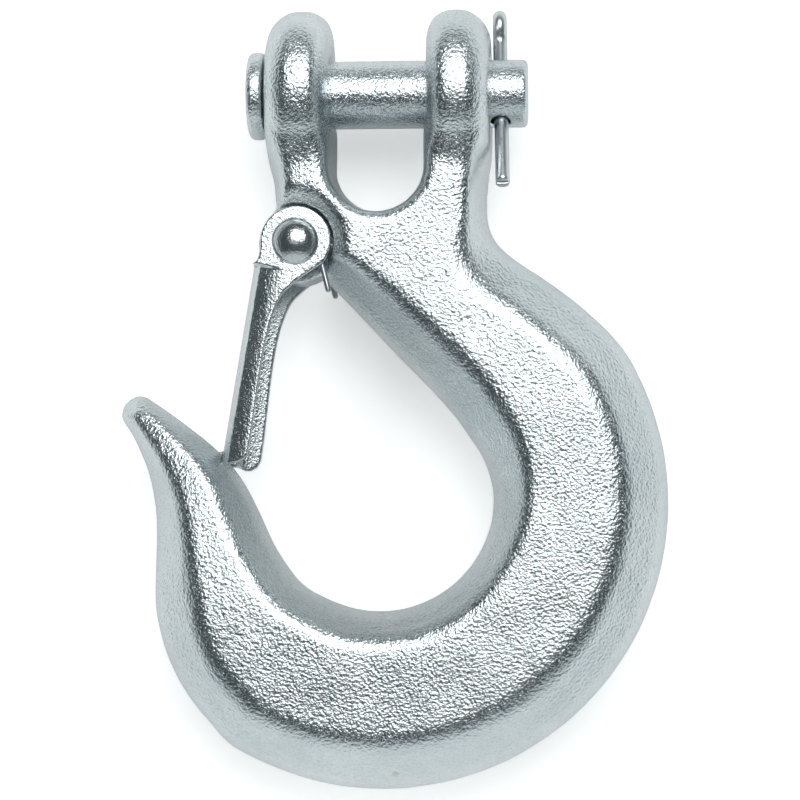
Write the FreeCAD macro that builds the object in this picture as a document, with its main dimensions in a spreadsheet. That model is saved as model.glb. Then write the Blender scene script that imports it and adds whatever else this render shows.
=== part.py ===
import FreeCAD, Part
import math
import os
from FreeCAD import Placement, Rotation, Vector

# A quarter-inch clevis slip hook with a spring safety latch, in millimetres.
# Origin: on the load pin's axis, midway between the two clevis ears.
# +Z points up the load line, +X along the load pin towards its cotter, -Y is the front face.
# The hook is symmetric about its forging's parting plane, XZ.

os.makedirs("parts", exist_ok=True)
doc = FreeCAD.newDocument("SafetyChainHook")

# ---------------------------------------------------------------- driving dimensions
sheet = doc.addObject("Spreadsheet::Sheet", "Dimensions")
DRIVING = [
    ("pin_radius", 4.365),          # 11/32 inch load pin
    ("pin_clearance", 0.2),
    ("jaw_half_width", 5.58),       # 7/16 inch between the ears
    ("jaw_draft", 0.65),            # how much each jaw wall opens out at the faces
    ("jaw_depth", 15.2),            # load pin axis to the bottom of the jaw
    ("ear_width", 8.8),
    ("ear_radius", 10.9),
    ("body_half_thickness", 7.5),
    ("bowl_drop", 51.9),            # load pin axis to the bowl's centre
    ("bowl_radius", 14.45),         # seat of the bowl
    ("back_radius", 36.7),          # outside of the bowl
    ("tip_radius", 2.2),
    ("head_radius", 5.65),
    ("head_thickness", 2.35),
    ("head_gap", 0.3),              # between the pin head and the ear
    ("pin_end", 19.1),              # free end of the load pin
    ("edge_chamfer", 0.45),
    ("cotter_station", 15.65),       # along the load pin
    ("cotter_radius", 1.0),
    ("cotter_hole_radius", 1.25),
    ("cotter_split", 0.06),         # half the gap between its two legs
    ("cotter_long_leg", 13.4),
    ("cotter_short_leg", 13.1),
    ("eye_height", 9.95),
    ("eye_inner_radius", 1.35),
    ("eye_throat_radius", 2.2),
    ("cotter_clock", -22.0),        # degrees, how far the load pin is turned
    ("cotter_lean", 1.5),           # degrees, the cotter's play in its hole
    ("pivot_x", -10.3),             # latch pivot
    ("pivot_z", -19.5),
    ("lug_radius", 5.1),
    ("pocket_radius", 5.35),        # round recess beside the lug, for the latch's ears
    ("lug_half_thickness", 3.2),
    ("lug_bore_radius", 2.03),
    ("rivet_radius", 2.0),
    ("rivet_head_radius", 2.95),
    ("rivet_rim", 0.3),
    ("rivet_dome_radius", 2.8),
    ("rivet_dome_height", 1.5),
    ("latch_half_width", 6.25),
    ("latch_sheet", 0.9),
    ("latch_ear_radius", 4.52),
    ("latch_ear_bore", 2.06),
    ("latch_bend_radius", 1.3),
    ("spring_wire_radius", 0.36),
    ("spring_coil_radius", 2.5),
    ("spring_leg", 6.9),
    ("spring_leg_angle", 13.0),      # degrees about the pivot, where the leg leaves the coil
    ("spring_bridge_angle", 162.5),
]
for row, (alias, value) in enumerate(DRIVING, start=1):
    sheet.set(f"A{row}", alias)
    sheet.set(f"B{row}", str(value))
    sheet.setAlias(f"B{row}", alias)
doc.recompute()


def dim(alias):
    """The value of a cell of the sheet."""
    return float(sheet.get(alias))


def bind(obj, **cells):
    """Bind each property of a feature to an expression over the sheet's cells."""
    for prop, expression in cells.items():
        obj.setExpression(prop, expression)
    return obj


def origin_plane(body, role):
    """One of a body's own origin planes, by its role."""
    return next(f for f in body.Origin.OriginFeatures if f.Role == role)


def plan_sketch(body, name, role):
    """An empty sketch on one of the body's origin planes."""
    sketch = body.newObject("Sketcher::SketchObject", name)
    sketch.AttachmentSupport = [(origin_plane(body, role), "")]
    sketch.MapMode = "FlatFace"
    return sketch


def draw_polygon(sketch, points):
    """Closed run of straight lines through 2-D points."""
    corners = [Vector(u, v, 0) for u, v in points]
    for start, end in zip(corners, corners[1:] + corners[:1]):
        sketch.addGeometry(Part.LineSegment(start, end), False)


def flat(u, v):
    """A point of the parting plane from its X and Z."""
    return Vector(u, 0, v)


# ---------------------------------------------------------------- hook body
TIP_CENTRE = flat(-30.9, -41.0)
HEEL_CENTRE = flat(-4.1, -63.3)
HEEL_RADIUS = 25.0
BACK_OFFSET = flat(0.26, -0.6)  # from the bowl's centre to the centre of its outside
ARM_ROOT_Z = -13.7
SEAM_TURN = 205.0  # degrees; puts a cylinder's seam where it crosses no other edge of the hook
EGG = [(0.05, 0.42), (0.15, 0.80), (0.28, 0.99), (0.46, 1.02), (0.64, 0.93), (0.82, 0.68), (0.95, 0.34)]
SLAB = [(0.015, 0.42), (0.06, 0.80), (0.14, 0.98), (0.46, 1.00), (0.84, 0.98), (0.94, 0.80), (0.985, 0.42)]


def forged_section(inner, outer, half_thickness, squareness=0.0):
    """Closed cross-section of the forging between two points of the parting plane.

    The bowl's section is an egg: rounded at its inner edge, level in the middle, with a long slope to the
    outside. With more squareness it becomes the clevis's flat slab with rounded edges.
    """
    across = outer - inner
    profile = []
    for (egg_u, egg_v), (slab_u, slab_v) in zip(EGG, SLAB):
        profile.append((egg_u + (slab_u - egg_u) * squareness, egg_v + (slab_v - egg_v) * squareness))
    front = [inner + across * u + Vector(0, -half_thickness * v, 0) for u, v in profile]
    back = [inner + across * u + Vector(0, half_thickness * v, 0) for u, v in reversed(profile)]
    curve = Part.BSplineCurve()
    curve.interpolate(Points=[inner] + front + [outer] + back, PeriodicFlag=True)
    return Part.Wire([curve.toShape()])


def on_circle(centre, radius, degrees):
    """Point of the parting plane on a circle."""
    angle = math.radians(degrees)
    return centre + flat(radius * math.cos(angle), radius * math.sin(angle))


def hook_stations():
    """Sections of the forging from its point up to the clevis: inner point, outer point, half thickness
    and, near the clevis, squareness."""
    full = dim("body_half_thickness")
    bowl = flat(0, -dim("bowl_drop"))
    back = bowl + BACK_OFFSET
    tip_radius = dim("tip_radius")
    stations = [
        (on_circle(TIP_CENTRE, tip_radius * 0.93, 62), on_circle(TIP_CENTRE, tip_radius * 0.93, 190), 1.5),
        (on_circle(TIP_CENTRE, tip_radius * 1.05, 40), on_circle(TIP_CENTRE, tip_radius * 1.05, 212), 2.5),
        (flat(-25.2, -42.3), flat(-31.0, -46.2), 4.1),
        (flat(-20.7, -45.9), flat(-29.3, -51.8), 5.4),
        (flat(-17.6, -49.6), flat(-28.9, -56.8), 6.3),
        (flat(-15.4, -53.8), flat(-29.0, -62.3), 6.9),
        (flat(-13.1, -58.7), on_circle(HEEL_CENTRE, HEEL_RADIUS, 193), 7.2),
        (flat(-10.2, -62.6), on_circle(HEEL_CENTRE, HEEL_RADIUS, 213), full - 0.1),
        (flat(-6.9, -65.3), on_circle(HEEL_CENTRE, HEEL_RADIUS, 233), full),
    ]
    for inner_angle, outer_angle in [(255, 252), (278, 274), (301, 297), (325, 321), (348, 345), (370, 369)]:
        seat = on_circle(bowl, dim("bowl_radius"), inner_angle)
        stations.append((seat, on_circle(back, dim("back_radius"), outer_angle), full))
    stations += [
        (flat(12.6, -46.3), on_circle(back, dim("back_radius") - 0.2, 31), full),
        (flat(9.4, -41.3), flat(26.4, -27.9), full),
        (flat(5.0, -36.5), flat(20.8, -23.5), full),
        (flat(0.6, -32.0), flat(16.6, -20.4), full, 0.1),
        (flat(-4.2, -27.1), flat(14.4, -17.8), full, 0.3),
        (flat(-8.6, -22.6), flat(13.8, -16.2), full, 0.6),
        (flat(-12.4, -18.4), flat(13.75, -15.2), full, 0.9),
        (flat(-14.1, -12.6), flat(14.1, -12.6), full, 1.0),
    ]
    return stations


def forged_blank():
    """The forging from the point up to the root of the clevis arms."""
    sections = [forged_section(*station) for station in hook_stations()]
    point = Part.Vertex(on_circle(TIP_CENTRE, dim("tip_radius"), 127))
    return Part.makeLoft([point] + sections, True, False)


def arm_blank(side):
    """One clevis arm, from the yoke up into its ear, flat in front and behind and rounded outside."""
    outside = dim("jaw_half_width") + dim("ear_width") - 0.2
    half = dim("body_half_thickness")
    rounding = [(3.6, 1.0), (1.5, 0.84), (0.4, 0.45), (0.0, 0.0), (0.4, -0.45), (1.5, -0.84), (3.6, -1.0)]
    edge = [Vector(side * (outside - inset), half * share, ARM_ROOT_Z) for inset, share in rounding]
    rounded = Part.BSplineCurve()
    rounded.interpolate(edge)
    inside = [Vector(side * 0.3 * outside, half * share, ARM_ROOT_Z) for share in (-1, 1)]
    outline = Part.Wire([
        rounded.toShape(),
        Part.LineSegment(edge[-1], inside[0]).toShape(),
        Part.LineSegment(inside[0], inside[1]).toShape(),
        Part.LineSegment(inside[1], edge[0]).toShape(),
    ])
    return Part.Face(outline).extrude(Vector(0, 0, -ARM_ROOT_Z - 2))


def jaw_wire(y, grow):
    """Outline of the jaw in the plane of one y: two walls, a round bottom and an open top."""
    half = dim("jaw_half_width") + grow
    centre_z = dim("jaw_half_width") - dim("jaw_depth")
    top = 1.5 * dim("ear_radius")
    left_top = Vector(-half, y, top)
    right_top = Vector(half, y, top)
    left_root = Vector(-half, y, centre_z)
    right_root = Vector(half, y, centre_z)
    bottom = Vector(0, y, centre_z - half)
    return Part.Wire([
        Part.LineSegment(left_top, left_root).toShape(),
        Part.Arc(left_root, bottom, right_root).toShape(),
        Part.LineSegment(right_root, right_top).toShape(),
        Part.LineSegment(right_top, left_top).toShape(),
    ])


def jaw_tool():
    """The space between the ears, narrowest at the parting plane and opening out to both faces."""
    reach = 1.2 * dim("ear_radius")
    grow = dim("jaw_draft") * reach / dim("body_half_thickness")
    halves = [Part.makeLoft([jaw_wire(0, 0), jaw_wire(side * reach, grow)], True, True) for side in (-1, 1)]
    return halves[0].fuse(halves[1]).removeSplitter()


def add_feature(name, shape):
    """A Part::Feature that holds one shape made by Part's own functions."""
    feature = doc.addObject("Part::Feature", name)
    feature.Shape = shape
    return feature


def cylinder_along(name, direction, centre, radius, length):
    """A Part::Cylinder centred on a point, its radius and length bound to expressions."""
    cylinder = doc.addObject("Part::Cylinder", name)
    bind(cylinder, Radius=radius, Height=length)
    doc.recompute()
    half = direction * (cylinder.Height.Value / 2)
    seam_turn = Rotation(Z_AXIS, SEAM_TURN)
    cylinder.Placement = Placement(centre - half, Rotation(Vector(0, 0, 1), direction).multiply(seam_turn))
    return cylinder


X_AXIS = Vector(1, 0, 0)
Y_AXIS = Vector(0, 1, 0)
Z_AXIS = Vector(0, 0, 1)
pivot = flat(dim("pivot_x"), dim("pivot_z"))


def combine(kind, name, base, tool):
    """A Part boolean of two features; kind is Part::Fuse or Part::Cut."""
    result = doc.addObject(kind, name)
    result.Base = base
    result.Tool = tool
    result.Refine = False
    return result


def build_ear(side, word):
    """One clevis eye: a disc with a fully rounded rim, centred on the load pin."""
    centre = Vector(side * (dim("jaw_half_width") + dim("ear_width") / 2), 0, 0)
    core_radius = "Dimensions.ear_radius - Dimensions.ear_width / 2"
    disc = cylinder_along(f"{word}EarDisc", X_AXIS, centre, core_radius, "Dimensions.ear_width")
    rim = doc.addObject("Part::Torus", f"{word}EarRim")
    bind(rim, Radius1=core_radius, Radius2="Dimensions.ear_width / 2")
    rim.Placement = Placement(centre, Rotation(Z_AXIS, X_AXIS))
    return combine("Part::Fuse", f"{word}Ear", disc, rim)


def build_hook_body():
    hook = add_feature("ForgedBlank", forged_blank().fuse(arm_blank(-1)).fuse(arm_blank(1)))
    added = [build_ear(-1, "Left"), build_ear(1, "Right")]
    added.append(cylinder_along("LatchLug", Y_AXIS, pivot, "Dimensions.lug_radius",
                                "2 * Dimensions.lug_half_thickness"))
    for number, piece in enumerate(added, start=1):
        hook = combine("Part::Fuse", f"HookWith{number}", hook, piece)
    cutters = [add_feature("JawTool", jaw_tool())]
    pocket_depth = 2 * dim("body_half_thickness")
    for side, word in ((-1, "Front"), (1, "Back")):
        centre = pivot + Vector(0, side * (dim("lug_half_thickness") + pocket_depth / 2), 0)
        cutters.append(cylinder_along(f"{word}LatchPocket", Y_AXIS, centre, "Dimensions.pocket_radius",
                                      "2 * Dimensions.body_half_thickness"))
    cutters.append(cylinder_along("PinBore", X_AXIS, Vector(0, 0, 0),
                                  "Dimensions.pin_radius + Dimensions.pin_clearance", "6 * Dimensions.ear_width"))
    cutters.append(cylinder_along("LugBore", Y_AXIS, pivot, "Dimensions.lug_bore_radius",
                                  "4 * Dimensions.lug_half_thickness"))
    for number, cutter in enumerate(cutters, start=1):
        hook = combine("Part::Cut", f"HookCut{number}", hook, cutter)
    hook.Label = "hook_body"
    return hook


# ---------------------------------------------------------------- load pin and its cotter
def build_clevis_pin():
    body = doc.addObject("PartDesign::Body", "clevis_pin")
    body.Label = "clevis_pin"
    profile = plan_sketch(body, "PinProfile", "XZ_Plane")
    radius = dim("pin_radius")
    head = dim("head_radius")
    chamfer = dim("edge_chamfer")
    head_face = -(dim("jaw_half_width") + dim("ear_width") + dim("head_gap"))
    head_end = head_face - dim("head_thickness")
    end = dim("pin_end")
    draw_polygon(profile, [
        (head_end, 0),
        (head_end, head - chamfer),
        (head_end + chamfer, head),
        (head_face - chamfer / 2, head),
        (head_face, head - chamfer / 2),
        (head_face, radius),
        (end - chamfer, radius),
        (end, radius - chamfer),
        (end, 0),
    ])
    turned = body.newObject("PartDesign::Revolution", "TurnedPin")
    turned.Profile = profile
    turned.ReferenceAxis = (profile, ["H_Axis"])
    turned.Angle = 360
    hole_sketch = plan_sketch(body, "CotterHoleCircle", "XY_Plane")
    hole_sketch.addGeometry(
        Part.Circle(Vector(dim("cotter_station"), 0, 0), Z_AXIS, dim("cotter_hole_radius")), False)
    hole = body.newObject("PartDesign::Pocket", "CotterHole")
    hole.Profile = hole_sketch
    hole.Midplane = True
    bind(hole, Length="4 * Dimensions.pin_radius")
    body.Placement = Placement(Vector(0, 0, 0), Rotation(X_AXIS, dim("cotter_clock")))
    return body


def cotter_spine():
    """Inner face of the split wire: up one leg, round the eye and down the other, in the plane x = 0."""
    split = dim("cotter_split")
    throat = dim("eye_throat_radius")
    eye = dim("eye_inner_radius")
    eye_z = dim("eye_height")
    throat_y = split + throat
    throat_z = eye_z - math.sqrt((throat + eye) ** 2 - throat_y ** 2)
    meet_y = throat_y * eye / (throat + eye)
    meet_z = eye_z - (eye_z - throat_z) * eye / (throat + eye)
    swing = math.atan2(eye_z - throat_z, throat_y) / 2
    middle_y = throat_y - throat * math.cos(swing)
    middle_z = throat_z + throat * math.sin(swing)
    long_end = Vector(0, split, -dim("cotter_long_leg"))
    short_end = Vector(0, -split, -dim("cotter_short_leg"))
    return Part.Wire([
        Part.LineSegment(long_end, Vector(0, split, throat_z)).toShape(),
        Part.Arc(Vector(0, split, throat_z), Vector(0, middle_y, middle_z), Vector(0, meet_y, meet_z)).toShape(),
        Part.Arc(Vector(0, meet_y, meet_z), Vector(0, 0, eye_z + eye), Vector(0, -meet_y, meet_z)).toShape(),
        Part.Arc(Vector(0, -meet_y, meet_z), Vector(0, -middle_y, middle_z), Vector(0, -split, throat_z)).toShape(),
        Part.LineSegment(Vector(0, -split, throat_z), short_end).toShape(),
    ])


def build_cotter_pin():
    radius = dim("cotter_radius") - dim("cotter_split")
    split = dim("cotter_split")
    foot_z = -dim("cotter_long_leg")
    round_side = Part.Arc(Vector(-radius, split, foot_z), Vector(0, split + radius, foot_z),
                          Vector(radius, split, foot_z)).toShape()
    flat_side = Part.LineSegment(Vector(radius, split, foot_z), Vector(-radius, split, foot_z)).toShape()
    swept = cotter_spine().makePipeShell([Part.Wire([round_side, flat_side])], True, False)
    cotter = add_feature("cotter_pin", swept)
    cotter.Label = "cotter_pin"
    clocked = Rotation(X_AXIS, dim("cotter_clock"))
    leaning = Rotation(Y_AXIS, -dim("cotter_lean"))
    cotter.Placement = Placement(clocked.multVec(Vector(dim("cotter_station"), 0, 0)), clocked.multiply(leaning))
    return cotter


# ---------------------------------------------------------------- safety latch
def latch_plan():
    """Named points of the latch's side view, from its pivot, as X and Z."""
    return {
        "shoulder": (-4.55, -2.45),
        "web_top": (-5.6, -3.1),
        "web_foot": (-9.5, -27.25),
        "toe_outer": (-9.0, -28.5),
        "toe_inner": (-7.4, -28.7),
        "flange_foot": (-5.75, -27.1),
        "flange_mid": (-4.05, -14.0),
        "flange_knee": (-2.35, -8.1),
        "flange_top": (-0.4, -5.55),
        "ear_right": (3.3, -2.6),
    }


def build_latch():
    body = doc.addObject("PartDesign::Body", "safety_latch")
    body.Label = "safety_latch"
    plan = {name: Vector(u, v, 0) for name, (u, v) in latch_plan().items()}
    ear = dim("latch_ear_radius")
    outline = plan_sketch(body, "LatchSideView", "XZ_Plane")
    ear_start = plan["ear_right"] * (ear / plan["ear_right"].Length)
    ear_end = plan["shoulder"] * (ear / plan["shoulder"].Length)
    inner_edge = Part.BSplineCurve()
    inner_edge.interpolate([plan["flange_foot"], plan["flange_mid"], plan["flange_knee"], plan["flange_top"],
                            ear_start])
    toe_middle = Vector(-6.35, -28.35, 0)
    for edge in (
        Part.Arc(ear_start, Vector(0, ear, 0), ear_end),
        Part.LineSegment(ear_end, plan["web_top"]),
        Part.LineSegment(plan["web_top"], plan["web_foot"]),
        Part.LineSegment(plan["web_foot"], plan["toe_outer"]),
        Part.LineSegment(plan["toe_outer"], plan["toe_inner"]),
        Part.Arc(plan["toe_inner"], toe_middle, plan["flange_foot"]),
        inner_edge,
    ):
        outline.addGeometry(edge, False)
    blank = body.newObject("PartDesign::Pad", "LatchBlank")
    blank.Profile = outline
    blank.Midplane = True
    bind(blank, Length="2 * Dimensions.latch_half_width")
    doc.recompute()
    bends = body.newObject("PartDesign::Fillet", "SheetBends")
    bends.Base = (blank, long_corner_edges(blank.Shape, plan["web_top"], plan["web_foot"]))
    bind(bends, Radius="Dimensions.latch_bend_radius")
    doc.recompute()
    web_run = (plan["web_foot"] - plan["web_top"]).normalize()
    inward = Vector(-web_run.y, web_run.x, 0) * dim("latch_sheet")
    web_inner_top = plan["web_top"] + inward
    web_inner_end = plan["web_foot"] + inward
    web_outer_end = plan["web_foot"] - inward
    channel = plan_sketch(body, "ChannelHollow", "XZ_Plane")
    clear_x = 2 * ear
    clear_z = web_inner_end.y - clear_x
    draw_polygon(channel, [
        (web_inner_top.x, web_inner_top.y),
        (web_inner_end.x, web_inner_end.y),
        (web_outer_end.x, web_outer_end.y),
        (web_outer_end.x, clear_z),
        (clear_x, clear_z),
        (clear_x, clear_x),
        (-clear_x, clear_x),
        (-clear_x, web_inner_top.y),
    ])
    hollow = body.newObject("PartDesign::Pocket", "LatchChannel")
    hollow.Profile = channel
    hollow.Midplane = True
    bind(hollow, Length="2 * (Dimensions.latch_half_width - Dimensions.latch_sheet)")
    bore_sketch = plan_sketch(body, "EarBoreCircle", "XZ_Plane")
    bore_sketch.addGeometry(Part.Circle(Vector(0, 0, 0), Z_AXIS, dim("latch_ear_bore")), False)
    bore = body.newObject("PartDesign::Pocket", "EarBores")
    bore.Profile = bore_sketch
    bore.Midplane = True
    bind(bore, Length="4 * Dimensions.latch_half_width")
    body.Placement = Placement(pivot, Rotation())
    return body


def long_corner_edges(shape, top, foot):
    """Names of the two outer edges that run down the web, where the sheet is bent."""
    names = []
    half_width = dim("latch_half_width")
    web_length = (foot - top).Length
    for number, edge in enumerate(shape.Edges, start=1):
        middle = edge.BoundBox.Center
        at_side = abs(abs(middle.y) - half_width) < 0.01
        on_web = abs(middle.x - (top.x + foot.x) / 2) < 0.2
        if at_side and on_web and edge.Length > 0.9 * web_length:
            names.append(f"Edge{number}")
    return names


def build_rivet():
    body = doc.addObject("PartDesign::Body", "latch_rivet")
    body.Label = "latch_rivet"
    profile = plan_sketch(body, "RivetProfile", "XY_Plane")
    shank = dim("rivet_radius")
    head = dim("rivet_head_radius")
    dome = dim("rivet_dome_radius")
    seat = dim("latch_half_width") + 0.05
    rim = seat + dim("rivet_rim")
    crown = rim + dim("rivet_dome_height")
    corners = [(0, -crown), (dome, -rim), (head, -rim), (head, -seat), (shank, -seat),
               (shank, seat), (head, seat), (head, rim), (dome, rim), (0, crown)]
    points = [Vector(u, v, 0) for u, v in corners]
    rise = dim("rivet_dome_height")
    ball = (dome ** 2 + rise ** 2) / (2 * rise)
    half_way = math.asin(dome / ball) / 2
    dome_x = ball * math.sin(half_way)
    dome_y = crown - ball * (1 - math.cos(half_way))
    front_dome = Vector(dome_x, -dome_y, 0)
    back_dome = Vector(dome_x, dome_y, 0)
    profile.addGeometry(Part.Arc(points[0], front_dome, points[1]), False)
    for start, end in zip(points[1:8], points[2:9]):
        profile.addGeometry(Part.LineSegment(start, end), False)
    profile.addGeometry(Part.Arc(points[8], back_dome, points[9]), False)
    profile.addGeometry(Part.LineSegment(points[9], points[0]), False)
    turned = body.newObject("PartDesign::Revolution", "TurnedRivet")
    turned.Profile = profile
    turned.ReferenceAxis = (profile, ["V_Axis"])
    turned.Angle = 360
    body.Placement = Placement(pivot, Rotation())
    return body


# ---------------------------------------------------------------- latch spring
def mirrored(point):
    """The point's twin on the other side of the parting plane."""
    return Vector(point.x, -point.y, point.z)


def mirrored_arc(start, middle, end):
    """An arc's twin on the other side of the parting plane, run backwards."""
    return Part.Arc(mirrored(end), mirrored(middle), mirrored(start)).toShape()


def spring_path():
    """Centre line of the double torsion spring about the pivot, with the point where it starts and its direction.

    Each half: a leg resting on the shank, a coil round the rivet, then a run down behind the web.
    """
    coil = dim("spring_coil_radius")
    first = dim("latch_half_width") - dim("latch_sheet") - dim("spring_wire_radius") - 0.1
    last = dim("lug_half_thickness") + dim("spring_wire_radius") + 0.1
    leg_angle = math.radians(dim("spring_leg_angle"))
    bridge_angle = math.radians(dim("spring_bridge_angle"))
    turned = 2 * math.pi + bridge_angle - leg_angle
    arcs = 5
    corner = 1.0

    def on_coil(share):
        angle = leg_angle + turned * share
        return Vector(coil * math.cos(angle), -(first + (last - first) * share), coil * math.sin(angle))

    leg_run = Vector(math.sin(leg_angle), 0, -math.cos(leg_angle))
    bridge_run = Vector(-math.sin(bridge_angle), 0, math.cos(bridge_angle))
    leg_end = on_coil(0) + leg_run * dim("spring_leg")
    run_end = on_coil(1) + bridge_run * dim("spring_leg")
    corner_middle = run_end + bridge_run * (corner * math.sin(math.pi / 4))
    corner_middle.y += corner * (1 - math.cos(math.pi / 4))
    corner_end = run_end + bridge_run * corner + Vector(0, corner, 0)
    front = [Part.LineSegment(leg_end, on_coil(0)).toShape()]
    back = [Part.LineSegment(mirrored(on_coil(0)), mirrored(leg_end)).toShape()]
    for number in range(arcs):
        ends = (on_coil(number / arcs), on_coil((number + 0.5) / arcs), on_coil((number + 1) / arcs))
        front.append(Part.Arc(*ends).toShape())
        back.insert(0, mirrored_arc(*ends))
    front.append(Part.LineSegment(on_coil(1), run_end).toShape())
    front.append(Part.Arc(run_end, corner_middle, corner_end).toShape())
    front.append(Part.LineSegment(corner_end, mirrored(corner_end)).toShape())
    back.insert(0, Part.LineSegment(mirrored(run_end), mirrored(on_coil(1))).toShape())
    back.insert(0, mirrored_arc(run_end, corner_middle, corner_end))
    return Part.Wire(front + back), leg_end, leg_run * -1


def build_spring():
    path, start, along = spring_path()
    circle = Part.Wire([Part.Circle(start, along, dim("spring_wire_radius")).toShape()])
    spring = add_feature("latch_spring", path.makePipeShell([circle], True, False))
    spring.Label = "latch_spring"
    spring.Placement = Placement(pivot, Rotation())
    return spring


# ---------------------------------------------------------------- build, check and write
nodes = [build_hook_body(), build_clevis_pin(), build_cotter_pin(), build_latch(), build_rivet(), build_spring()]
doc.recompute()
LEAST_CUT = 50.0  # cubic millimetres; each cutter of the hook takes off more than this
for obj in doc.Objects:
    if "Invalid" in obj.State or "Error" in obj.State:
        raise RuntimeError(f"{obj.Name} failed: {obj.State}")
    if obj.TypeId == "Part::Cut" and obj.Base.Shape.Volume - obj.Shape.Volume < LEAST_CUT:
        raise RuntimeError(f"{obj.Name} cut nothing away")
for node in nodes:
    if node.Shape.isNull() or not node.Shape.isValid():
        raise RuntimeError(f"{node.Label} has no valid shape")
    if len(node.Shape.Solids) != 1:
        raise RuntimeError(f"{node.Label} holds {len(node.Shape.Solids)} solids")
    node.Shape.exportStep(f"parts/{node.Label}.step")
    print(node.Label, round(node.Shape.Volume, 1), node.Shape.BoundBox)
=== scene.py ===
import bmesh
import bpy
import math
import numpy as np
from mathutils import Matrix, Vector


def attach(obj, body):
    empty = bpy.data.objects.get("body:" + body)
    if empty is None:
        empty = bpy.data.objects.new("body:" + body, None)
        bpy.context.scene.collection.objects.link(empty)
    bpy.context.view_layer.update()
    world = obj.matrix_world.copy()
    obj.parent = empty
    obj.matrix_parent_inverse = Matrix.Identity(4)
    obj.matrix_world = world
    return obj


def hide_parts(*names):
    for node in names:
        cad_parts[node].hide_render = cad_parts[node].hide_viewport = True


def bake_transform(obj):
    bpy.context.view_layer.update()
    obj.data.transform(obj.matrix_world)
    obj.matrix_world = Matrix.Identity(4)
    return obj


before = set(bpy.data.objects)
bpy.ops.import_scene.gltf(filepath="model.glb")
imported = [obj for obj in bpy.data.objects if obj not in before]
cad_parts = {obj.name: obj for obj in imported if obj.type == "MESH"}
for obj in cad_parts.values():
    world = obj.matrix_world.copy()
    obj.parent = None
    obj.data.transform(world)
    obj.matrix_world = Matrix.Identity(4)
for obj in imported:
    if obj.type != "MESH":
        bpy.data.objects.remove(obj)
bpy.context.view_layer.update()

MM = 0.001
RNG = np.random.default_rng(7)

# ---------------------------------------------------------------- sizes, in millimetres
PIN_RADIUS = 4.365
PIN_END = 19.1
HEAD_RADIUS = 5.65
HEAD_FACE = -14.68
HEAD_THICKNESS = 2.35
COTTER_STATION = 15.65
COTTER_RADIUS = 1.0
COTTER_SPLIT = 0.06
COTTER_HOLE = 1.25
COTTER_LONG_LEG = 13.4
COTTER_SHORT_LEG = 13.1
EYE_HEIGHT = 9.95
EYE_RADIUS = 1.35
EYE_THROAT = 2.2
COTTER_CLOCK = math.radians(-22.0)
COTTER_LEAN = math.radians(1.5)
JAW_HALF = 5.58
JAW_DRAFT = 0.65
JAW_CENTRE_Z = -9.62
EAR_CENTRE_X = 9.98
EAR_HALF_WIDTH = 4.46
EAR_RADIUS = 10.75
EAR_SIDE = EAR_CENTRE_X + EAR_HALF_WIDTH
BORE_RADIUS = 4.565
PIVOT = np.array([-10.3, 0.0, -19.5])
LUG_RADIUS = 5.1
LUG_HALF = 3.2
POCKET_RADIUS = 4.75
POCKET_LIP = 6.1
LUG_BORE = 2.03
LATCH_HALF = 6.25
LATCH_SHEET = 0.9
LATCH_EAR = 4.52
LATCH_BORE = 2.06
LATCH_CLEAR = 5.0
CREASE = (1.25, 5.5)
STRIP_TILT = 65.0
CREASE_TILT = 24.0
RIVET_RADIUS = 2.0
RIVET_HEAD = 2.95
RIVET_RIM = 0.3
RIVET_DOME = 2.8
RIVET_RISE = 1.2
WIRE_RADIUS = 0.36
COIL_RADIUS = 2.5
SPRING_LEG = 6.9
SPRING_GAP = 0.1
SPRING_LEG_TURN = math.radians(14.0)
SPRING_BRIDGE_TURN = math.radians(162.5)


# ---------------------------------------------------------------- plane curves
def arc(centre, radius, start, end, count):
    """Points on a circle between two angles in degrees."""
    angles = np.radians(np.linspace(start, end, count))
    return [(centre[0] + radius * math.cos(a), centre[1] + radius * math.sin(a)) for a in angles]


def smooth_curve(points, per_span=8):
    """A Catmull-Rom curve through the points."""
    p = np.array(points, float)
    p = np.vstack([2 * p[0] - p[1], p, 2 * p[-1] - p[-2]])
    out = []
    for i in range(1, len(p) - 2):
        for t in np.arange(per_span) / per_span:
            out.append(0.5 * (2 * p[i] + (p[i + 1] - p[i - 1]) * t
                              + (2 * p[i - 1] - 5 * p[i] + 4 * p[i + 1] - p[i + 2]) * t * t
                              + (3 * p[i] - p[i - 1] - 3 * p[i + 1] + p[i + 2]) * t ** 3))
    out.append(p[-2])
    return np.array(out)


def distance_to(curve, u, v):
    """Distance of each plane point (u, v) to an open run of straight segments."""
    best = np.full(u.shape, np.inf)
    for (ax, ay), (bx, by) in zip(curve[:-1], curve[1:]):
        ex, ey = bx - ax, by - ay
        length = ex * ex + ey * ey
        if length < 1e-12:
            continue
        t = np.clip(((u - ax) * ex + (v - ay) * ey) / length, 0, 1)
        np.minimum(best, (u - ax - t * ex) ** 2 + (v - ay - t * ey) ** 2, out=best)
    return np.sqrt(best)


def within(polygon, u, v):
    """True for each plane point inside a closed polygon."""
    inside = np.zeros(u.shape, bool)
    for (ax, ay), (bx, by) in zip(polygon, np.roll(polygon, -1, axis=0)):
        if ay == by:
            continue
        crosses = (ay > v) != (by > v)
        inside ^= crosses & (u < (bx - ax) * (v - ay) / (by - ay) + ax)
    return inside


def polygon_distance(polygon, u, v):
    """Signed distance to a closed polygon, negative inside."""
    distance = distance_to(np.vstack([polygon, polygon[:1]]), u, v)
    return np.where(within(polygon, u, v), -distance, distance)


# ---------------------------------------------------------------- solid fields, negative inside
def join(a, b, radius):
    """Union with a fillet of about that radius."""
    radius = np.maximum(radius, 1e-4)
    blend = np.maximum(radius - np.abs(a - b), 0) / radius
    return np.minimum(a, b) - blend * blend * radius / 4


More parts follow.
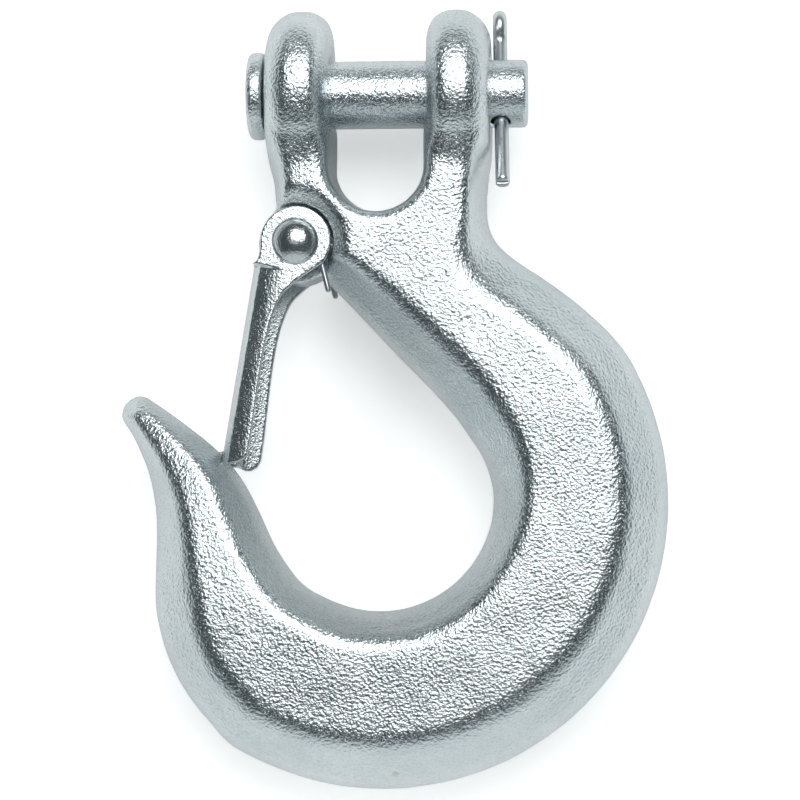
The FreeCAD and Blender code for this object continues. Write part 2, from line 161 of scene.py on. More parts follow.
def meet(a, b, radius):
    """Intersection with a rounded edge."""
    return -join(-a, -b, radius)


def cut(a, b, radius):
    """a without b, with a rounded edge."""
    return meet(a, -b, radius)


def scaled(field, step):
    """A field whose value near its surface is a distance, from one with any slope."""
    slopes = np.gradient(field, step)
    size = np.sqrt(sum(s * s for s in slopes))
    return field / np.maximum(size, 1e-3)


def smoothstep(low, high, value):
    t = np.clip((value - low) / (high - low), 0, 1)
    return t * t * (3 - 2 * t)


# ---------------------------------------------------------------- meshes from fields
def grid(low, high, step):
    """The sample points of a box, as full X, Y and Z arrays."""
    axes = [np.arange(l, h + step, step, dtype=np.float32) for l, h in zip(low, high)]
    return np.meshgrid(*axes, indexing="ij")


def sample(field, points):
    """Trilinear reading of a field at points given in cells."""
    limit = np.array(field.shape) - 2
    base = np.clip(np.floor(points).astype(int), 0, limit)
    f = points - base
    x, y, z = base.T
    value = 0
    for dx in (0, 1):
        for dy in (0, 1):
            for dz in (0, 1):
                weight = (np.where(dx, f[:, 0], 1 - f[:, 0]) * np.where(dy, f[:, 1], 1 - f[:, 1])
                          * np.where(dz, f[:, 2], 1 - f[:, 2]))
                value = value + weight * field[x + dx, y + dy, z + dz]
    return value


def slope(field, points):
    """Gradient of a field at points, per cell."""
    half = 0.5
    parts = []
    for axis in range(3):
        offset = np.zeros(3)
        offset[axis] = half
        parts.append(sample(field, points + offset) - sample(field, points - offset))
    return np.stack(parts, axis=1)


def surface(field, low, step, relax=3):
    """Quad mesh of a field's zero surface: vertices in millimetres, faces, and outward normals."""
    inside = field < 0
    shape = np.array(field.shape) - 1
    count = np.zeros(shape, np.int8)
    corners = [(i, j, k) for i in (0, 1) for j in (0, 1) for k in (0, 1)]
    for i, j, k in corners:
        count += inside[i:i + shape[0], j:j + shape[1], k:k + shape[2]]
    cells = np.argwhere((count > 0) & (count < 8))
    total = np.zeros((len(cells), 3))
    hits = np.zeros(len(cells))
    for a in corners:
        for axis in range(3):
            if a[axis]:
                continue
            b = list(a)
            b[axis] = 1
            fa = field[tuple((cells + a).T)]
            fb = field[tuple((cells + b).T)]
            crossing = (fa < 0) != (fb < 0)
            share = np.where(crossing, fa / np.where(crossing, fa - fb, 1), 0)
            point = np.array(a, float) + share[:, None] * (np.array(b) - a)
            total += point * crossing[:, None]
            hits += crossing
    points = cells + total / hits[:, None]
    number = np.full(shape, -1, np.int64)
    number[tuple(cells.T)] = np.arange(len(cells))
    quads = []
    for axis in range(3):
        u, v = (axis + 1) % 3, (axis + 2) % 3
        near = [slice(None)] * 3
        far = [slice(None)] * 3
        near[axis], far[axis] = slice(0, -1), slice(1, None)
        change = inside[tuple(near)] != inside[tuple(far)]
        edges = np.argwhere(change)
        edges = edges[(edges[:, u] > 0) & (edges[:, v] > 0)]
        edges = edges[(edges[:, u] < shape[u]) & (edges[:, v] < shape[v])]
        step_u, step_v = np.zeros(3, int), np.zeros(3, int)
        step_u[u], step_v[v] = 1, 1
        ring = [number[tuple((edges - back).T)] for back in (0 * step_u, step_u, step_u + step_v, step_v)]
        ring = np.stack(ring, axis=1)
        outward = inside[tuple(edges.T)]
        quads.append(np.where(outward[:, None], ring, ring[:, ::-1]))
    faces = np.vstack(quads)
    for _ in range(relax):
        sums = np.zeros_like(points)
        degree = np.zeros(len(points))
        for i in range(4):
            a, b = faces[:, i], faces[:, (i + 1) % 4]
            for axis in range(3):
                sums[:, axis] += np.bincount(a, points[b, axis], len(points))
                sums[:, axis] += np.bincount(b, points[a, axis], len(points))
            degree += np.bincount(a, minlength=len(points)) + np.bincount(b, minlength=len(points))
        points = points + 0.6 * (sums / degree[:, None] - points)
        for _ in range(2):
            g = slope(field, points)
            size = np.maximum((g * g).sum(1), 1e-9)
            move = (sample(field, points) / size)[:, None] * g
            points = points - np.clip(move, -0.5, 0.5)
    g = slope(field, points)
    normals = g / np.maximum(np.linalg.norm(g, axis=1), 1e-9)[:, None]
    return np.array(low) + points * step, faces, normals


def ripple(points, amplitude, wavelength, waves=9):
    """Gentle unevenness over points: a sum of waves in random directions."""
    value = np.zeros(len(points))
    for _ in range(waves):
        direction = RNG.normal(size=3)
        direction *= 2 * math.pi / wavelength / np.linalg.norm(direction) * RNG.uniform(0.6, 1.5)
        value += np.sin(points @ direction + RNG.uniform(0, 2 * math.pi))
    return amplitude * value / math.sqrt(waves / 2)


def mesh_piece(name, points, faces, material, matrix=None):
    """A smooth-shaded Blender object from points in millimetres and quads."""
    mesh = bpy.data.meshes.new(name)
    mesh.vertices.add(len(points))
    mesh.vertices.foreach_set("co", (points * MM).astype(np.float32).ravel())
    size = faces.shape[1]
    mesh.loops.add(len(faces) * size)
    mesh.loops.foreach_set("vertex_index", faces.astype(np.int32).ravel())
    mesh.polygons.add(len(faces))
    mesh.polygons.foreach_set("loop_start", np.arange(0, len(faces) * size, size, dtype=np.int32))
    mesh.polygons.foreach_set("use_smooth", np.ones(len(faces), bool))
    mesh.update(calc_edges=True)
    mesh.validate()
    mesh.materials.append(material)
    piece = bpy.data.objects.new(name, mesh)
    bpy.context.scene.collection.objects.link(piece)
    if matrix is not None:
        mesh.transform(matrix)
    return piece


# ---------------------------------------------------------------- hook body
TIP = (-31.1, -41.2)
TIP_RADIUS = 2.4
BOWL = (0.0, -51.9)
BACK = (0.26, -52.5)
HEEL = (-4.1, -63.3)


def hook_edges():
    """The two edges of the forging in its parting plane, both from the point's end to the top of an arm."""
    inner = arc(TIP, TIP_RADIUS, 127, 51, 5)
    inner += [(-25.2, -42.35), (-20.75, -45.9), (-17.7, -49.5), (-15.5, -53.5), (-13.1, -58.5), (-10.1, -62.6)]
    inner += arc(BOWL, 14.45, 243, 350, 9)
    inner += [(14.35, -51.0), (13.4, -47.6), (11.5, -44.4), (8.6, -40.5), (3.0, -34.6), (-2.0, -29.4)]
    inner += [(-6.0, -25.3), (-10.0, -21.2), (-13.0, -17.9), (-13.65, -14.2), (-14.0, -10.5), (-14.4, -6.4)]
    inner += [(-14.4, 3.0)]
    outer = arc(TIP, TIP_RADIUS, 127, 200, 5)
    outer += [(-31.9, -44.3), (-30.1, -48.4), (-29.2, -52.3), (-28.9, -56.5)]
    outer += arc(HEEL, 25.0, 183, 224, 5)
    outer += arc(BACK, 36.72, 239, 389, 14)
    outer += [(29.9, -31.3), (27.4, -28.8), (24.4, -26.3), (21.1, -23.8), (17.6, -21.4), (15.2, -19.2)]
    outer += [(14.25, -17.0), (14.1, -14.8), (14.25, -12.0), (14.35, -9.0), (14.4, -6.4), (14.4, 3.0)]
    return smooth_curve(inner), smooth_curve(outer)


def edge_depths(x, z):
    """How far each point of the parting plane lies inside the inner and the outer edge."""
    inner, outer = hook_edges()
    far_left = -60.0
    apex = inner[0]
    hollow = np.vstack([inner, [[far_left, inner[-1][1]], [far_left, apex[1]]]])
    filled = np.vstack([outer, [[outer[-1][0], 30.0], [far_left, 30.0], [far_left, apex[1]]]])
    a = distance_to(inner, x, z)
    b = distance_to(outer, x, z)
    return np.where(within(hollow, x, z), -a, a), np.where(within(filled, x, z), b, -b)


def slope_plane(depth, y, run, low, high):
    """A flat flank rising from a height beside the edge to a height at the ridge, that far in."""
    length = np.sqrt(run * run + (high - low) ** 2)
    return (run * (np.abs(y) - low) - (high - low) * depth) / length


def forging_field(x, y, z):
    """The bowl, shank and arms: a level face between two flanks that slope down to a rounded edge."""
    plane_x, plane_z = x[:, 0, :], z[:, 0, :]
    a, b = edge_depths(plane_x.astype(float), plane_z.astype(float))
    width = np.clip(a + b, 0.5, 60)
    half = 7.8 * np.tanh(width / 11.6)
    angle = np.arctan2(plane_z - BOWL[1], plane_x - BOWL[0])
    arms = smoothstep(-26, -15, plane_z)
    shank = np.clip(np.cos(angle - math.radians(50)), 0, 1) ** 2
    flank_in = np.minimum(3.7 + 1.7 * shank, 0.27 * width) * (1 - arms) + 2.1 * arms
    flank_out = np.minimum(5.9, 0.33 * width) * (1 - arms) + 2.3 * arms
    plane = (a, b, half, flank_in, flank_out)
    a, b, half, flank_in, flank_out = (p[:, None, :].astype(np.float32) for p in plane)
    foot = 0.16 * half
    flash = 0.10 * np.exp(-((y / 0.7) ** 4))
    inner = meet(slope_plane(a, y, flank_in, foot, half), -a - flash, 0.24 * half)
    outer = meet(slope_plane(b, y, flank_out, foot, half), -b - flash, 0.24 * half)
    crown = 0.012 * np.minimum(np.minimum(a, b), 6)
    return meet(meet(inner, outer, 0.3), np.abs(y) - half + 0.06 - crown, 0.20 * half)


def ear_field(x, y, z, side, step):
    """One clevis eye: a ring of round section about the load pin, faced off at its rim."""
    from_axis = np.sqrt(y * y + z * z)
    core = EAR_RADIUS - EAR_HALF_WIDTH + 0.15
    across = (x - side * EAR_CENTRE_X) / EAR_HALF_WIDTH
    reach = np.where(from_axis > core, EAR_HALF_WIDTH, 2.86)
    ring = scaled(np.sqrt(across ** 2 + ((from_axis - core) / reach) ** 2) - 1, step)
    return meet(ring, from_axis - EAR_RADIUS - 0.15 * smoothstep(3, 9, z), 0.25)


def hook_field(x, y, z, step):
    body = forging_field(x, y, z)
    ledge = (1.3 * (np.abs(y) - 7.5) + 1.2 * (z + 7.2)) / 1.77
    body = meet(meet(body, ledge, 0.7), z - 0.5, 1.0)
    for side in (-1, 1):
        body = join(body, ear_field(x, y, z, side, step), 2.2)
    body = meet(body, np.abs(x) - EAR_SIDE - 40 * np.maximum(-14 - z, 0), 0.4)
    jaw_half = JAW_HALF + JAW_DRAFT * np.abs(y) / 7.5
    below = np.minimum(z - JAW_CENTRE_Z, 0)
    body = cut(body, np.sqrt(x * x + below * below) - jaw_half, 1.7)
    from_pivot = np.sqrt((x - PIVOT[0]) ** 2 + (z - PIVOT[2]) ** 2)
    lug = meet(from_pivot - LUG_RADIUS, np.abs(y) - LUG_HALF, 0.5)
    body = join(body, lug, 1.2)
    pocket = join(from_pivot - POCKET_RADIUS, 0.7 * (from_pivot - POCKET_RADIUS - np.abs(y) + POCKET_LIP), 0.4)
    body = cut(body, meet(pocket, LUG_HALF - np.abs(y), 0), 0.9)
    body = cut(body, np.sqrt(y * y + z * z) - BORE_RADIUS, 0.6)
    return cut(body, from_pivot - LUG_BORE, 0.25)


def build_hook(material):
    step = 0.32
    low, high = (-34.5, -12.0, -91.0), (38.5, 12.0, 12.2)
    x, y, z = grid(low, high, step)
    field = hook_field(x, y, z, step)
    points, faces, normals = surface(field, low, step)
    quiet = smoothstep(4.8, 6.5, np.hypot(points[:, 1], points[:, 2]))
    quiet *= smoothstep(5.6, 7.0, np.hypot(points[:, 0] - PIVOT[0], points[:, 2] - PIVOT[2]))
    lift = ripple(points, 0.022, 9.0) + ripple(points, 0.008, 3.0)
    points = points + normals * (lift * quiet)[:, None]
    piece = mesh_piece("forged_hook", points, faces, material)
    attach(piece, "hook")
    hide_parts("hook_body")
    return piece


# ---------------------------------------------------------------- load pin and cotter
def pin_field(x, y, z):
    from_axis = np.sqrt(y * y + z * z)
    shank = meet(from_axis - PIN_RADIUS, np.abs(x - 2) - (PIN_END - 2), 0.8)
    head_middle = HEAD_FACE - HEAD_THICKNESS / 2
    crown = 0.15 * (from_axis / HEAD_RADIUS) ** 2
    head_face = np.abs(x - head_middle) - HEAD_THICKNESS / 2 + crown * (x < head_middle)
    head = meet(from_axis - HEAD_RADIUS, head_face, 0.9)
    pin = join(shank, head, 0.25)
    return cut(pin, np.sqrt((x - COTTER_STATION) ** 2 + y * y) - COTTER_HOLE, 0.35)


def build_pin(material):
    step = 0.16
    low, high = (-17.6, -6.2, -6.2), (19.7, 6.2, 6.2)
    x, y, z = grid(low, high, step)
    points, faces, _ = surface(pin_field(x, y, z), low, step)
    turn = Matrix.Rotation(COTTER_CLOCK, 4, "X")
    piece = mesh_piece("headed_load_pin", points, faces, material, turn)
    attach(piece, "load_pin")
    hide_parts("clevis_pin")
    return piece


def cotter_outline():
    """Inner face of the split wire in Y and Z: up one leg, round the eye, down the other, closed at the feet."""
    throat_y = COTTER_SPLIT + EYE_THROAT
    throat_z = EYE_HEIGHT - math.sqrt((EYE_THROAT + EYE_RADIUS) ** 2 - throat_y ** 2)
    lean = math.degrees(math.atan2(EYE_HEIGHT - throat_z, throat_y))
    right = [(COTTER_SPLIT, -COTTER_LONG_LEG), (COTTER_SPLIT, throat_z)]
    right += arc((throat_y, throat_z), EYE_THROAT, 180, 180 - lean, 8)[1:]
    loop = arc((0, EYE_HEIGHT), EYE_RADIUS, -lean, 180 + lean, 40)
    left = [(-u, w) for u, w in reversed(right)]
    return np.array(right[:-1] + loop + left[1:])


def cotter_field(x, y, z):
    plane_y, plane_z = y[0].astype(float), z[0].astype(float)
    off = polygon_distance(cotter_outline(), plane_y, plane_z)[None].astype(np.float32)
    radius = COTTER_RADIUS - COTTER_SPLIT
    wire = meet(np.sqrt(x * x + off * off) - radius, -off, 0.25)
    foot = np.where(y > 0, -COTTER_LONG_LEG, -COTTER_SHORT_LEG)
    return meet(wire, foot - z, 0.5)


def build_cotter(material):
    step = 0.1
    low, high = (-1.3, -2.9, -13.8), (1.3, 2.9, 12.7)
    x, y, z = grid(low, high, step)
    points, faces, _ = surface(cotter_field(x, y, z), low, step)
    place = (Matrix.Rotation(COTTER_CLOCK, 4, "X") @ Matrix.Translation((COTTER_STATION * MM, 0, 0))
             @ Matrix.Rotation(-COTTER_LEAN, 4, "Y"))
    piece = mesh_piece("split_cotter", points, faces, material, place)
    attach(piece, "cotter")
    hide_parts("cotter_pin")
    return piece


# ---------------------------------------------------------------- latch, rivet and spring
WEB_TOP = np.array([-5.8, -2.6])
WEB_FOOT = np.array([-9.83, -26.9])


def latch_outline(far):
    """The latch's side view about its pivot. Its web side lies a little proud, because the sheet ends it."""
    right = (LATCH_EAR * 0.785, -LATCH_EAR * 0.619)
    if far:
        edge = [(-5.5, -26.7), (-3.95, -14.0), (-2.35, -8.1), (-0.4, -5.55), right]
        toe = [(-8.4, -28.6), (-7.7, -28.95), (-7.0, -28.95), (-6.2, -28.5), (-5.7, -27.7)]
    else:
        edge = [(-5.9, -26.7), (-4.05, -14.0), (-2.35, -8.1), (-0.4, -5.55), right]
        toe = [(-8.6, -28.25), (-7.4, -28.1), (-6.6, -27.7), (-6.1, -27.2)]
    ear = arc((0, 0), LATCH_EAR, -38, 186, 40)
    web = [(-4.62, -1.4), (-4.8, -2.1), (-5.0, -2.5), (-6.3, -3.1), (-10.7, -28.3), (-9.6, -28.4)]
    return np.vstack([smooth_curve(edge)[1:], ear, web, toe])


def latch_field(x, y, z):
    plane_x, plane_z = x[:, 0, :].astype(float), z[:, 0, :].astype(float)
    near_view = polygon_distance(latch_outline(False), plane_x, plane_z)[:, None, :].astype(np.float32)
    far_view = polygon_distance(latch_outline(True), plane_x, plane_z)[:, None, :].astype(np.float32)
    side_view = np.where(y > 0, far_view, near_view)
    run = (WEB_FOOT - WEB_TOP) / np.linalg.norm(WEB_FOOT - WEB_TOP)
    inward = np.array([-run[1], run[0]])
    depth = (x - WEB_TOP[0]) * inward[0] + (z - WEB_TOP[1]) * inward[1]
    down = (x - WEB_TOP[0]) * run[0] + (z - WEB_TOP[1]) * run[1]
    length = np.linalg.norm(WEB_FOOT - WEB_TOP)
    arch = 1 - smoothstep(2.9, 3.5, np.abs(y))
    depth = depth + LATCH_CLEAR * (1 - smoothstep(-0.1, 0.4, down))
    depth = depth + LATCH_CLEAR * arch * smoothstep(length - 0.3, length + 0.1, down)
    outside = meet(-depth, facet(depth, y, STRIP_TILT), 1.0)
    outside = meet(outside, facet(depth, y, CREASE_TILT), 0.12)
    outside = meet(outside, np.abs(y) - LATCH_HALF, 0.8)
    sheet = np.abs(outside + LATCH_SHEET / 2) - LATCH_SHEET / 2
    latch = meet(sheet, side_view, 0.3)
    return cut(latch, np.sqrt(x * x + z * z) - LATCH_BORE, 0.15)


def facet(depth, y, tilt):
    """A flat through the crease of the latch's bend, tilted that far from facing the front."""
    lean = math.radians(tilt)
    return (np.abs(y) - CREASE[1]) * math.cos(lean) - (depth - CREASE[0]) * math.sin(lean)


def build_latch(material):
    step = 0.15
    low, high = (-10.6, -6.7, -29.2), (5.0, 6.7, 5.0)
    x, y, z = grid(low, high, step)
    points, faces, _ = surface(latch_field(x, y, z), low, step)
    piece = mesh_piece("channel_latch", points + PIVOT, faces, material)
    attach(piece, "latch")
    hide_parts("safety_latch")
    return piece


def rivet_field(x, y, z):
    from_axis = np.sqrt(x * x + z * z)
    seat = LATCH_HALF + 0.05
    shank = meet(from_axis - RIVET_RADIUS, np.abs(y) - seat - 0.1, 0)
    rim = meet(from_axis - RIVET_HEAD, np.abs(np.abs(y) - seat - RIVET_RIM / 2) - RIVET_RIM / 2, 0.2)
    ball = (RIVET_DOME ** 2 + RIVET_RISE ** 2) / (2 * RIVET_RISE)
    sink = seat + RIVET_RIM + RIVET_RISE - ball
    dome = meet(np.sqrt(from_axis ** 2 + (np.abs(y) - sink) ** 2) - ball, seat + 0.1 - np.abs(y), 0)
    return join(shank, join(rim, dome, 0.2), 0.15)


def build_rivet(material):
    step = 0.12
    low, high = (-3.3, -8.5, -3.3), (3.3, 8.5, 3.3)
    x, y, z = grid(low, high, step)
    points, faces, _ = surface(rivet_field(x, y, z), low, step)
    piece = mesh_piece("domed_rivet", points + PIVOT, faces, material)
    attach(piece, "hook")
    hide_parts("latch_rivet")
    return piece


def spring_path():
    """Centre line of the spring about the pivot: leg on the shank, coil, run behind the web, and its mirror."""
    first = LATCH_HALF - LATCH_SHEET - WIRE_RADIUS - SPRING_GAP
    last = LUG_HALF + WIRE_RADIUS + SPRING_GAP
    leg, bridge = SPRING_LEG_TURN, SPRING_BRIDGE_TURN
    half = []
    root = np.array([COIL_RADIUS * math.cos(leg), -first, COIL_RADIUS * math.sin(leg)])
    leg_run = np.array([math.sin(leg), 0, -math.cos(leg)])
    for reach in np.linspace(SPRING_LEG, 0.4, 12):
        half.append(root + leg_run * reach)
    for share in np.linspace(0, 1, 90):
        turn = leg + (2 * math.pi + bridge - leg) * share
        half.append(np.array([COIL_RADIUS * math.cos(turn), -(first + (last - first) * share),
                              COIL_RADIUS * math.sin(turn)]))
    bridge_run = np.array([-math.sin(bridge), 0, math.cos(bridge)])
    end = half[-1]
    for reach in np.linspace(0.5, 6.6, 12):
        half.append(end + bridge_run * reach)
    corner = end + bridge_run * 7.6
    for share in np.linspace(0.15, 0.9, 5) * math.pi / 2:
        half.append(corner + bridge_run * (math.sin(share) - 1) + np.array([0, 1 - math.cos(share), 0]))
    for reach in np.linspace(1.0, last - 0.2, 8):
        half.append(corner + np.array([0, reach, 0]))
    half = np.array(half)
    return np.vstack([half, half[::-1] * (1, -1, 1)])


def tube(path, radius, around=20):
    """Quads of a round wire along a path, with domed ends; vertices in millimetres."""
    tangents = np.gradient(path, axis=0)
    tangents /= np.linalg.norm(tangents, axis=1)[:, None]
    side = np.cross(tangents[0], [0.0, 1.0, 0.0])
    rings = []
    cap = np.linspace(math.pi / 2 * 0.98, 0, 6)
    stops = [(path[0] - tangents[0] * radius * math.sin(c), tangents[0], radius * math.cos(c))
             for c in cap[:-1]]
    stops += [(p, d, radius) for p, d in zip(path, tangents)]
    stops += [(path[-1] + tangents[-1] * radius * math.sin(c), tangents[-1], radius * math.cos(c))
              for c in cap[::-1][1:]]
    angles = np.linspace(0, 2 * math.pi, around, endpoint=False)
    for centre, direction, size in stops:
        side = side - direction * (side @ direction)
        side /= np.linalg.norm(side)
        other = np.cross(direction, side)
        rings.append(centre + size * (np.cos(angles)[:, None] * side + np.sin(angles)[:, None] * other))
    points = np.vstack(rings)
    faces = []
    for ring in range(len(rings) - 1):
        for k in range(around):
            n = (k + 1) % around
            here, following = ring * around, (ring + 1) * around
            faces.append((here + k, here + n, following + n, following + k))
    return points, np.array(faces)


def close_ends(piece):
    """Fill the two small holes left at a tube's ends."""
    mesh = bmesh.new()
    mesh.from_mesh(piece.data)
    bmesh.ops.holes_fill(mesh, edges=[e for e in mesh.edges if e.is_boundary], sides=0)
    bmesh.ops.recalc_face_normals(mesh, faces=mesh.faces)
    for face in mesh.faces:
        face.smooth = True
    mesh.to_mesh(piece.data)
    mesh.free()


def build_spring(material):
    points, faces = tube(spring_path(), WIRE_RADIUS)
    piece = mesh_piece("torsion_spring", points + PIVOT, faces, material)
    close_ends(piece)
    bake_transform(piece)
    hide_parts("latch_spring")
    return piece


# ---------------------------------------------------------------- materials
def node(tree, kind, **settings):
    made = tree.nodes.new(kind)
    for key, value in settings.items():
        if key in made.inputs:
            made.inputs[key].default_value = value
        else:
            setattr(made, key, value)
    return made


def math_node(tree, operation, first, second=0.0):
    made = node(tree, "ShaderNodeMath", operation=operation)
    for socket, value in zip(made.inputs, (first, second)):
        if hasattr(value, "is_linked"):
            tree.links.new(value, socket)
        else:
            socket.default_value = value
    return made.outputs[0]


def noise(tree, coords, scale, detail=3.0, roughness=0.55):
    made = node(tree, "ShaderNodeTexNoise", Scale=scale, Detail=detail, Roughness=roughness)
    tree.links.new(coords, made.inputs["Vector"])
    return made.outputs["Fac"]


def ramp(tree, value, stops):
    """A colour ramp from (position, colour or grey) stops."""
    made = node(tree, "ShaderNodeValToRGB")
    elements = made.color_ramp.elements
    while len(elements) < len(stops):
        elements.new(0.5)
    for element, (position, colour) in zip(elements, stops):
        element.position = position
        element.color = (*colour, 1) if isinstance(colour, tuple) else (colour, colour, colour, 1)
    tree.links.new(value, made.inputs["Fac"])
    return made.outputs["Color"]


def mixed(tree, factor, first, second):
    """Mix of two colour sockets or colours by a factor socket or number."""
    made = node(tree, "ShaderNodeMix", data_type="RGBA")
    for socket, value in ((made.inputs[0], factor), (made.inputs[6], first), (made.inputs[7], second)):
        if hasattr(value, "is_linked"):
            tree.links.new(value, socket)
        else:
            socket.default_value = (*value, 1) if isinstance(value, tuple) else value
    return made.outputs[2]


def zinc(name, tone, shade, roughness, grain, grain_depth, specks=0.0, streaks=None):
    """Bright zinc plate.

    tone and shade are the plate's light and dark colours. grain is the size of the blasted grain and
    grain_depth its height, both in millimetres. specks is how much brown staining shows. streaks, if given,
    is the direction in which the metal was drawn.
    """
    made = bpy.data.materials.new(name)
    made.use_nodes = True
    tree = made.node_tree
    surface_node = tree.nodes["Principled BSDF"]
    coords = node(tree, "ShaderNodeTexCoord").outputs["Object"]
    fine = noise(tree, coords, 1000 / grain, 2.5, 0.6)
    cloud = noise(tree, coords, 1000 / 14.0, 4.0)
    patch = noise(tree, coords, 1000 / 3.2, 5.0, 0.65)
    colour = mixed(tree, ramp(tree, cloud, [(0.35, 0.0), (0.68, 1.0)]), tone, shade)
    grain_tint = ramp(tree, fine, [(0.30, (0.80, 0.82, 0.83)), (0.62, (1.0, 1.0, 1.0))])
    tinted = node(tree, "ShaderNodeMix", data_type="RGBA", blend_type="MULTIPLY")
    tinted.inputs[0].default_value = 0.45
    tree.links.new(colour, tinted.inputs[6])
    tree.links.new(grain_tint, tinted.inputs[7])
    colour = tinted.outputs[2]
    if specks:
        stain = ramp(tree, noise(tree, coords, 1000 / 5.5, 2.0), [(0.73, 0.0), (0.80, specks)])
        colour = mixed(tree, stain, colour, (0.42, 0.33, 0.22))
    tree.links.new(colour, surface_node.inputs["Base Color"])
    surface_node.inputs["Metallic"].default_value = 1.0
    rough = node(tree, "ShaderNodeMapRange")
    spread = {"From Min": 0.3, "From Max": 0.7, "To Min": roughness * 0.8, "To Max": roughness * 1.3}
    for key, value in spread.items():
        rough.inputs[key].default_value = value
    tree.links.new(patch, rough.inputs["Value"])
    tree.links.new(rough.outputs["Result"], surface_node.inputs["Roughness"])
    bump = node(tree, "ShaderNodeBump", Strength=1.0, Distance=grain_depth * MM)
    tree.links.new(fine, bump.inputs["Height"])
    last = bump
    if streaks:
        stretch = node(tree, "ShaderNodeMapping")
        stretch.inputs["Scale"].default_value = streaks
        tree.links.new(coords, stretch.inputs["Vector"])
        drawn = noise(tree, stretch.outputs["Vector"], 1000 / 0.5, 2.0)
        lines = node(tree, "ShaderNodeBump", Strength=0.6, Distance=grain_depth * 0.6 * MM)
        tree.links.new(drawn, lines.inputs["Height"])
        tree.links.new(bump.outputs["Normal"], lines.inputs["Normal"])
        last = lines
    tree.links.new(last.outputs["Normal"], surface_node.inputs["Normal"])
    return made


# ---------------------------------------------------------------- the set
VIEW_AZIMUTH = math.radians(4.0)
VIEW_ELEVATION = math.radians(-3.0)
VIEW_DISTANCE = 0.360
VIEW_TARGET = Vector((0.0026, 0.0, -0.03945))
VIEW_FIELD = math.radians(16.24)
WINDOW_CENTRE = (0.05, 0.34)
WINDOW_HALF = (0.38, 0.47)
WINDOW_COLOUR = (1.10, 1.11, 1.11)
WALL_COLOUR = (0.065, 0.078, 0.084)
HORIZON_COLOUR = (0.76, 0.82, 0.84)
LOW_COLOUR = (0.70, 0.75, 0.76)
SHEET_REACH = 1.5
WALL_Y = 0.0125
WALL_FOOT = -0.35
FLOOR_Z = -0.118
SHEET_GLOW = 0.45
LAMP_TARGET = (0, 0, -0.04)


def aim(obj, target):
    obj.rotation_euler = (Vector(target) - obj.location).to_track_quat("-Z", "Y").to_euler()


def build_camera():
    data = bpy.data.cameras.new("photo_view")
    data.angle = VIEW_FIELD
    data.clip_start = 0.01
    camera = bpy.data.objects.new("photo_view", data)
    bpy.context.scene.collection.objects.link(camera)
    level = math.cos(VIEW_ELEVATION)
    back = Vector((math.sin(VIEW_AZIMUTH) * level, -math.cos(VIEW_AZIMUTH) * level, math.sin(VIEW_ELEVATION)))
    camera.location = VIEW_TARGET + back * VIEW_DISTANCE
    aim(camera, VIEW_TARGET)
    bpy.context.scene.camera = camera


def softbox(name, location, target, size, power, colour=(1, 1, 1), mirrored=False):
    """A soft lamp. Unless mirrored it lights the sheets but doesn't show in the metal."""
    data = bpy.data.lights.new(name, "AREA")
    data.shape = "RECTANGLE"
    data.size, data.size_y = size
    data.energy = power
    data.color = colour
    light = bpy.data.objects.new(name, data)
    bpy.context.scene.collection.objects.link(light)
    light.location = location
    light.visible_glossy = mirrored
    aim(light, target)


def sheet_material(name, glow, only_seen):
    """Plain white sheet, seen only from its front, so that it hides nothing from behind.

    With only_seen it is left out of everything the metal reflects.
    """
    made = bpy.data.materials.new(name)
    made.use_nodes = True
    tree = made.node_tree
    surface_node = tree.nodes["Principled BSDF"]
    surface_node.inputs["Base Color"].default_value = (0.90, 0.90, 0.90, 1)
    surface_node.inputs["Roughness"].default_value = 0.9
    surface_node.inputs["Specular IOR Level"].default_value = 0.0
    surface_node.inputs["Emission Color"].default_value = (0.99, 1.0, 1.0, 1)
    seen = node(tree, "ShaderNodeLightPath").outputs["Is Camera Ray"]
    tree.links.new(math_node(tree, "MULTIPLY", seen, glow), surface_node.inputs["Emission Strength"])
    clear = node(tree, "ShaderNodeBsdfTransparent")
    hidden = node(tree, "ShaderNodeNewGeometry").outputs["Backfacing"]
    if only_seen:
        hidden = math_node(tree, "MAXIMUM", hidden, math_node(tree, "SUBTRACT", 1.0, seen))
    pick = node(tree, "ShaderNodeMixShader")
    tree.links.new(hidden, pick.inputs["Fac"])
    tree.links.new(surface_node.outputs["BSDF"], pick.inputs[1])
    tree.links.new(clear.outputs["BSDF"], pick.inputs[2])
    tree.links.new(pick.outputs["Shader"], tree.nodes["Material Output"].inputs["Surface"])
    return made


def build_sheet(name, corners, material):
    mesh = bpy.data.meshes.new(name)
    mesh.from_pydata(corners, [], [(0, 1, 2, 3)])
    mesh.materials.append(material)
    sheet = bpy.data.objects.new(name, mesh)
    bpy.context.scene.collection.objects.link(sheet)


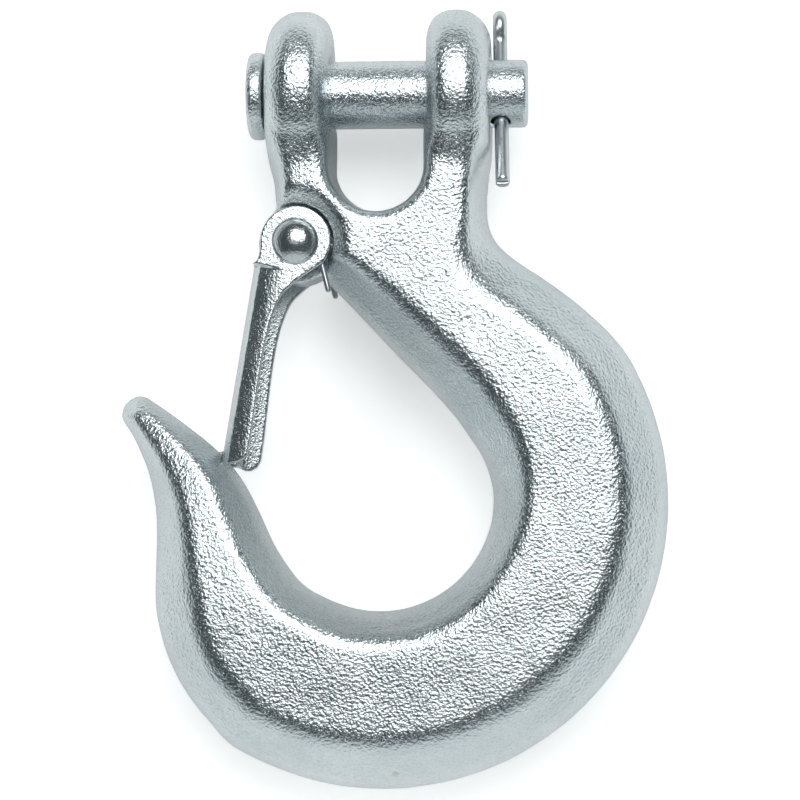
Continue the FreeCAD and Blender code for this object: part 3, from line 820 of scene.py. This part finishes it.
def build_world():
    """Studio surroundings as the metal sees them.

    A large bright window, a little above the middle of the view, on dim walls that turn pale again at the
    sides, where the table begins. The same is repeated behind, for views from the back. The camera itself
    sees plain white.
    """
    world = bpy.data.worlds.new("studio")
    bpy.context.scene.world = world
    world.use_nodes = True
    tree = world.node_tree
    coords = node(tree, "ShaderNodeTexCoord").outputs["Generated"]
    split = node(tree, "ShaderNodeSeparateXYZ")
    tree.links.new(coords, split.inputs["Vector"])
    x, y, z = split.outputs
    across = math_node(tree, "DIVIDE", math_node(tree, "SUBTRACT", x, WINDOW_CENTRE[0]), WINDOW_HALF[0])
    above = math_node(tree, "DIVIDE", math_node(tree, "SUBTRACT", z, WINDOW_CENTRE[1]), WINDOW_HALF[1])
    squares = [math_node(tree, "MULTIPLY", v, v) for v in (across, above)]
    from_window = math_node(tree, "ADD", *squares)
    window = ramp(tree, from_window, [(0.0, 1.0), (0.35, 0.90), (0.80, 0.82), (1.0, 0.0)])
    outward = math_node(tree, "ABSOLUTE", y)
    horizon = ramp(tree, outward, [(0.0, 1.0), (0.16, 0.80), (0.34, 0.0)])
    low = ramp(tree, math_node(tree, "MULTIPLY", z, -1.0), [(0.64, 0.0), (0.74, 1.0)])
    walls = mixed(tree, horizon, WALL_COLOUR, HORIZON_COLOUR)
    walls = mixed(tree, low, walls, LOW_COLOUR)
    room = mixed(tree, window, walls, WINDOW_COLOUR)
    path = node(tree, "ShaderNodeLightPath").outputs["Is Camera Ray"]
    seen = mixed(tree, path, room, (1.0, 1.0, 1.0))
    background = tree.nodes["Background"]
    background.inputs["Strength"].default_value = 1.0
    tree.links.new(seen, background.inputs["Color"])


def build_set():
    build_world()
    build_camera()
    far = SHEET_REACH
    wall = sheet_material("white_table", SHEET_GLOW, False)
    ground = sheet_material("white_floor", SHEET_GLOW, True)
    build_sheet("white_backdrop", [(-far, WALL_Y, WALL_FOOT), (far, WALL_Y, WALL_FOOT), (far, WALL_Y, far),
                                   (-far, WALL_Y, far)], wall)
    build_sheet("pale_floor", [(-far, -far, FLOOR_Z), (far, -far, FLOOR_Z), (far, far, FLOOR_Z),
                               (-far, far, FLOOR_Z)], ground)
    softbox("overhead_softbox", (0.10, -0.75, 0.30), LAMP_TARGET, (0.60, 0.45), 2.9, mirrored=True)
    softbox("left_softbox", (-0.60, -0.50, -0.05), LAMP_TARGET, (0.25, 0.50), 1.5, (0.95, 0.98, 1.0))
    softbox("right_softbox", (0.65, -0.45, -0.10), LAMP_TARGET, (0.25, 0.50), 1.7, (0.97, 0.99, 1.0))
    bpy.context.scene.view_settings.view_transform = "Standard"


# ---------------------------------------------------------------- assembly
PLATE = (0.78, 0.83, 0.84)
PLATE_SHADE = (0.68, 0.74, 0.76)
build_hook(zinc("blasted_zinc", PLATE, PLATE_SHADE, 0.17, 0.42, 0.16, specks=0.6))
build_pin(zinc("pin_zinc", PLATE, PLATE_SHADE, 0.17, 0.38, 0.15, specks=0.3, streaks=(1.0, 0.08, 0.08)))
build_cotter(zinc("cotter_zinc", (0.76, 0.79, 0.80), (0.62, 0.67, 0.69), 0.28, 0.26, 0.012,
                  streaks=(1.0, 1.0, 0.06)))
build_latch(zinc("latch_zinc", PLATE, (0.70, 0.75, 0.76), 0.20, 0.34, 0.09, specks=0.25,
                 streaks=(1.0, 1.0, 0.08)))
build_rivet(zinc("rivet_zinc", (0.72, 0.75, 0.76), (0.58, 0.63, 0.65), 0.20, 0.36, 0.05))
build_spring(zinc("spring_steel", (0.62, 0.64, 0.65), (0.48, 0.51, 0.53), 0.28, 0.15, 0.006))
build_set()
